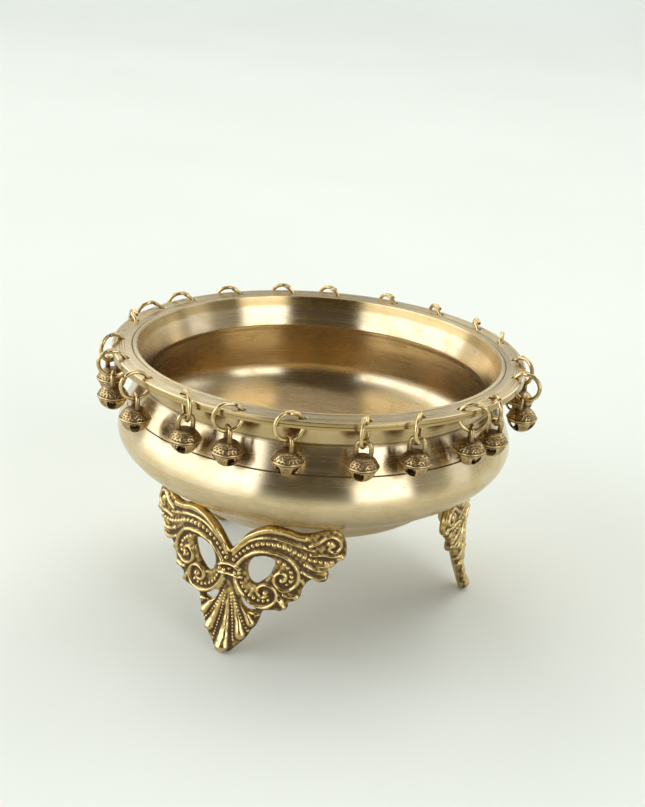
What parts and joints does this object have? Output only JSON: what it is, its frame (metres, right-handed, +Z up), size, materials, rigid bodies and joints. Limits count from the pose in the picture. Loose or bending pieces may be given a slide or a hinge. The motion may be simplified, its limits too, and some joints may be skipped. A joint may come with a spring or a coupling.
{
  "type": "urli bowl",
  "caption": "Wide shallow brass bowl on cast scroll feet, with small crotal bells hanging from split wire rings round its flat rim.",
  "frame": {"origin": "on the bowl's axis, at the height of the surface that the three feet stand on", "axes": "+Z up along the bowl's axis; -Y towards the viewer; +X to the viewer's right, towards the foot leg_right"},
  "size_m": [0.2655, 0.2636, 0.1639],
  "materials": {
    "bowl_brass": "turned satin brass",
    "wire_brass": "bright drawn wire",
    "bell_brass": "antiqued cast brass",
    "leg_brass": "antiqued cast brass"
  },
  "bodies": {
    "urli": {"bowl": "bowl_brass", "leg_front": "leg_brass", "leg_right": "leg_brass", "leg_rear": "leg_brass"},
    "ring_01": {"ring_01": "wire_brass"},
    "bell_01": {"bell_01": "bell_brass"},
    "ring_02": {"ring_02": "wire_brass"},
    "bell_02": {"bell_02": "bell_brass"},
    "ring_03": {"ring_03": "wire_brass"},
    "bell_03": {"bell_03": "bell_brass"},
    "ring_04": {"ring_04": "wire_brass"},
    "bell_04": {"bell_04": "bell_brass"},
    "ring_05": {"ring_05": "wire_brass"},
    "bell_05": {"bell_05": "bell_brass"},
    "ring_06": {"ring_06": "wire_brass"},
    "bell_06": {"bell_06": "bell_brass"},
    "ring_07": {"ring_07": "wire_brass"},
    "bell_07": {"bell_07": "bell_brass"},
    "ring_08": {"ring_08": "wire_brass"},
    "bell_08": {"bell_08": "bell_brass"},
    "ring_09": {"ring_09": "wire_brass"},
    "bell_09": {"bell_09": "bell_brass"},
    "ring_10": {"ring_10": "wire_brass"},
    "bell_10": {"bell_10": "bell_brass"},
    "ring_11": {"ring_11": "wire_brass"},
    "bell_11": {"bell_11": "bell_brass"},
    "ring_12": {"ring_12": "wire_brass"},
    "bell_12": {"bell_12": "bell_brass"},
    "ring_13": {"ring_13": "wire_brass"},
    "bell_13": {"bell_13": "bell_brass"},
    "ring_14": {"ring_14": "wire_brass"},
    "bell_14": {"bell_14": "bell_brass"},
    "ring_15": {"ring_15": "wire_brass"},
    "bell_15": {"bell_15": "bell_brass"},
    "ring_16": {"ring_16": "wire_brass"},
    "bell_16": {"bell_16": "bell_brass"},
    "ring_17": {"ring_17": "wire_brass"},
    "bell_17": {"bell_17": "bell_brass"},
    "ring_18": {"ring_18": "wire_brass"},
    "bell_18": {"bell_18": "bell_brass"},
    "ring_19": {"ring_19": "wire_brass"},
    "bell_19": {"bell_19": "bell_brass"},
    "ring_20": {"ring_20": "wire_brass"},
    "bell_20": {"bell_20": "bell_brass"},
    "ring_21": {"ring_21": "wire_brass"},
    "bell_21": {"bell_21": "bell_brass"},
    "ring_22": {"ring_22": "wire_brass"},
    "bell_22": {"bell_22": "bell_brass"}
  },
  "joints": [
    {"name": "ring_01_swivel", "type": "hinge", "parent": "urli", "child": "ring_01", "pos_m": [-0.11595, 0.02891, 0.1572], "axis": [0, 0, 1], "range_deg": [-10, 115]},
    {"name": "bell_01_swing", "type": "hinge", "parent": "ring_01", "child": "bell_01", "pos_m": [-0.11848, 0.03549, 0.1472], "axis": [0.3584, -0.9336, 0], "range_deg": [-60, 40]},
    {"name": "ring_02_swivel", "type": "hinge", "parent": "urli", "child": "ring_02", "pos_m": [-0.10349, 0.05975, 0.1572], "axis": [0, 0, 1], "range_deg": [-115, 15]},
    {"name": "bell_02_swing", "type": "hinge", "parent": "ring_02", "child": "bell_02", "pos_m": [-0.11012, 0.05734, 0.1472], "axis": [0.9397, 0.342, 0], "range_deg": [-60, 60]},
    {"name": "ring_03_swivel", "type": "hinge", "parent": "urli", "child": "ring_03", "pos_m": [-0.08596, 0.08301, 0.1572], "axis": [0, 0, 1], "range_deg": [-111, 14]},
    {"name": "bell_03_swing", "type": "hinge", "parent": "ring_03", "child": "bell_03", "pos_m": [-0.09301, 0.08277, 0.1472], "axis": [0.9994, 0.0349, 0], "range_deg": [-60, 60]},
    {"name": "ring_04_swivel", "type": "hinge", "parent": "urli", "child": "ring_04", "pos_m": [-0.0561, 0.10551, 0.1572], "axis": [0, 0, 1], "range_deg": [-122, 3]},
    {"name": "bell_04_swing", "type": "hinge", "parent": "ring_04", "child": "bell_04", "pos_m": [-0.06315, 0.10551, 0.1472], "axis": [1, 0, 0], "range_deg": [-26, 60]},
    {"name": "ring_05_swivel", "type": "hinge", "parent": "urli", "child": "ring_05", "pos_m": [-0.02075, 0.11768, 0.1572], "axis": [0, 0, 1], "range_deg": [-123, 2]},
    {"name": "bell_05_swing", "type": "hinge", "parent": "ring_05", "child": "bell_05", "pos_m": [-0.02729, 0.12033, 0.1472], "axis": [0.9272, -0.3746, 0], "range_deg": [-30, 60]},
    {"name": "ring_06_swivel", "type": "hinge", "parent": "urli", "child": "ring_06", "pos_m": [0.01042, 0.11904, 0.1572], "axis": [0, 0, 1], "range_deg": [-126, 0]},
    {"name": "bell_06_swing", "type": "hinge", "parent": "ring_06", "child": "bell_06", "pos_m": [0.00457, 0.12299, 0.1472], "axis": [0.829, -0.5592, 0], "range_deg": [-26, 60]},
    {"name": "ring_07_swivel", "type": "hinge", "parent": "urli", "child": "ring_07", "pos_m": [0.04861, 0.10917, 0.1572], "axis": [0, 0, 1], "range_deg": [-122, 3]},
    {"name": "bell_07_swing", "type": "hinge", "parent": "ring_07", "child": "bell_07", "pos_m": [0.04426, 0.11472, 0.1472], "axis": [0.6157, -0.788, 0], "range_deg": [-27, 60]},
    {"name": "ring_08_swivel", "type": "hinge", "parent": "urli", "child": "ring_08", "pos_m": [0.0784, 0.09019, 0.1572], "axis": [0, 0, 1], "range_deg": [-123, 0]},
    {"name": "bell_08_swing", "type": "hinge", "parent": "ring_08", "child": "bell_08", "pos_m": [0.07576, 0.09672, 0.1472], "axis": [0.3746, -0.9272, 0], "range_deg": [-25, 60]},
    {"name": "ring_09_swivel", "type": "hinge", "parent": "urli", "child": "ring_09", "pos_m": [0.10134, 0.06333, 0.1572], "axis": [0, 0, 1], "range_deg": [-116, 0]},
    {"name": "bell_09_swing", "type": "hinge", "parent": "ring_09", "child": "bell_09", "pos_m": [0.10085, 0.07036, 0.1472], "axis": [0.0698, -0.9976, 0], "range_deg": [-25, 60]},
    {"name": "ring_10_swivel", "type": "hinge", "parent": "urli", "child": "ring_10", "pos_m": [0.11365, 0.03693, 0.1572], "axis": [0, 0, 1], "range_deg": [-127, 0]},
    {"name": "bell_10_swing", "type": "hinge", "parent": "ring_10", "child": "bell_10", "pos_m": [0.11488, 0.04387, 0.1472], "axis": [-0.1736, -0.9848, 0], "range_deg": [-24, 60]},
    {"name": "ring_11_swivel", "type": "hinge", "parent": "urli", "child": "ring_11", "pos_m": [0.11943, 0.00417, 0.1572], "axis": [0, 0, 1], "range_deg": [-10, 115]},
    {"name": "bell_11_swing", "type": "hinge", "parent": "ring_11", "child": "bell_11", "pos_m": [0.12367, -0.00146, 0.1472], "axis": [-0.6018, 0.7986, 0], "range_deg": [-60, 40]},
    {"name": "ring_12_swivel", "type": "hinge", "parent": "urli", "child": "ring_12", "pos_m": [0.11595, -0.02891, 0.1572], "axis": [0, 0, 1], "range_deg": [-53, 72]},
    {"name": "bell_12_swing", "type": "hinge", "parent": "ring_12", "child": "bell_12", "pos_m": [0.12229, -0.032, 0.1472], "axis": [-0.8988, 0.4384, 0], "range_deg": [-60, 60]},
    {"name": "ring_13_swivel", "type": "hinge", "parent": "urli", "child": "ring_13", "pos_m": [0.09907, -0.06682, 0.1572], "axis": [0, 0, 1], "range_deg": [-18, 102]},
    {"name": "bell_13_swing", "type": "hinge", "parent": "ring_13", "child": "bell_13", "pos_m": [0.10078, -0.07366, 0.1472], "axis": [-0.2419, 0.9703, 0], "range_deg": [-60, 18]},
    {"name": "ring_14_swivel", "type": "hinge", "parent": "urli", "child": "ring_14", "pos_m": [0.07996, -0.08881, 0.1572], "axis": [0, 0, 1], "range_deg": [-108, 17]},
    {"name": "bell_14_swing", "type": "hinge", "parent": "ring_14", "child": "bell_14", "pos_m": [0.08701, -0.08881, 0.1472], "axis": [-1, 0, 0], "range_deg": [-37, 60]},
    {"name": "ring_15_swivel", "type": "hinge", "parent": "urli", "child": "ring_15", "pos_m": [0.05794, -0.10452, 0.1572], "axis": [0, 0, 1], "range_deg": [-17, 108]},
    {"name": "bell_15_swing", "type": "hinge", "parent": "ring_15", "child": "bell_15", "pos_m": [0.05623, -0.11136, 0.1472], "axis": [0.2419, 0.9703, 0], "range_deg": [-60, 60]},
    {"name": "ring_16_swivel", "type": "hinge", "parent": "urli", "child": "ring_16", "pos_m": [0.02891, -0.11595, 0.1572], "axis": [0, 0, 1], "range_deg": [-32, 93]},
    {"name": "bell_16_swing", "type": "hinge", "parent": "ring_16", "child": "bell_16", "pos_m": [0.0272, -0.12279, 0.1472], "axis": [0.2419, 0.9703, 0], "range_deg": [-60, 60]},
    {"name": "ring_17_swivel", "type": "hinge", "parent": "urli", "child": "ring_17", "pos_m": [-0.00625, -0.11934, 0.1572], "axis": [0, 0, 1], "range_deg": [0, 128]},
    {"name": "bell_17_swing", "type": "hinge", "parent": "ring_17", "child": "bell_17", "pos_m": [-0.01269, -0.1222, 0.1472], "axis": [0.9135, 0.4067, 0], "range_deg": [-60, 23]},
    {"name": "ring_18_swivel", "type": "hinge", "parent": "urli", "child": "ring_18", "pos_m": [-0.03891, -0.11299, 0.1572], "axis": [0, 0, 1], "range_deg": [-8, 112]},
    {"name": "bell_18_swing", "type": "hinge", "parent": "ring_18", "child": "bell_18", "pos_m": [-0.04557, -0.11528, 0.1472], "axis": [0.9455, 0.3256, 0], "range_deg": [-60, 60]},
    {"name": "ring_19_swivel", "type": "hinge", "parent": "urli", "child": "ring_19", "pos_m": [-0.07192, -0.09544, 0.1572], "axis": [0, 0, 1], "range_deg": [-120, 5]},
    {"name": "bell_19_swing", "type": "hinge", "parent": "ring_19", "child": "bell_19", "pos_m": [-0.06974, -0.10214, 0.1472], "axis": [-0.309, 0.9511, 0], "range_deg": [-39, 60]},
    {"name": "ring_20_swivel", "type": "hinge", "parent": "urli", "child": "ring_20", "pos_m": [-0.09417, -0.07357, 0.1572], "axis": [0, 0, 1], "range_deg": [-50, 75]},
    {"name": "bell_20_swing", "type": "hinge", "parent": "ring_20", "child": "bell_20", "pos_m": [-0.10066, -0.07633, 0.1472], "axis": [0.9205, 0.3907, 0], "range_deg": [-60, 60]},
    {"name": "ring_21_swivel", "type": "hinge", "parent": "urli", "child": "ring_21", "pos_m": [-0.11156, -0.04283, 0.1572], "axis": [0, 0, 1], "range_deg": [-42, 83]},
    {"name": "bell_21_swing", "type": "hinge", "parent": "ring_21", "child": "bell_21", "pos_m": [-0.1186, -0.04319, 0.1472], "axis": [0.9986, 0.0523, 0], "range_deg": [-60, 60]},
    {"name": "ring_22_swivel", "type": "hinge", "parent": "urli", "child": "ring_22", "pos_m": [-0.11921, -0.00834, 0.1572], "axis": [0, 0, 1], "range_deg": [-105, 15]},
    {"name": "bell_22_swing", "type": "hinge", "parent": "ring_22", "child": "bell_22", "pos_m": [-0.12383, -0.01366, 0.1472], "axis": [0.6561, 0.7547, 0], "range_deg": [-60, 60]}
  ]
}
